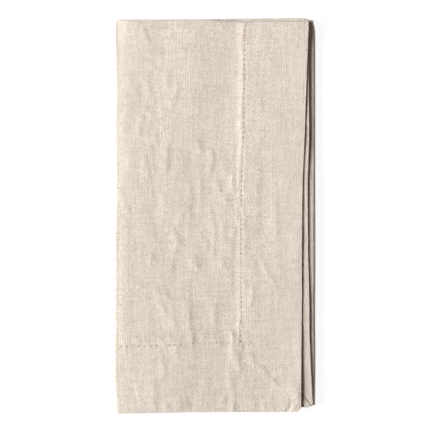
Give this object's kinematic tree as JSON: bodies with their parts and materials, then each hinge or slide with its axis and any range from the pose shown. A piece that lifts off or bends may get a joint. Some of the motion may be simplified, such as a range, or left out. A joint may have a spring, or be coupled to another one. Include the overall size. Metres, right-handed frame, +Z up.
{
  "type": "folded linen placemat",
  "caption": "Natural linen placemat with wide mitred hems, folded in half and then in three, lying flat.",
  "frame": {"origin": "centre of the underside, on the surface that the folded mat lies on", "axes": "+Z up, +Y towards the top fold, along the long side, +X towards the right fold, where the free side edges lie"},
  "size_m": [0.1292, 0.2539, 0.0092],
  "materials": {
    "linen": "undyed plain-weave linen, matt, with slubs, soft creases and a stitched hem"
  },
  "bodies": {
    "root": {"placemat_cloth": "linen"}
  },
  "joints": []
}
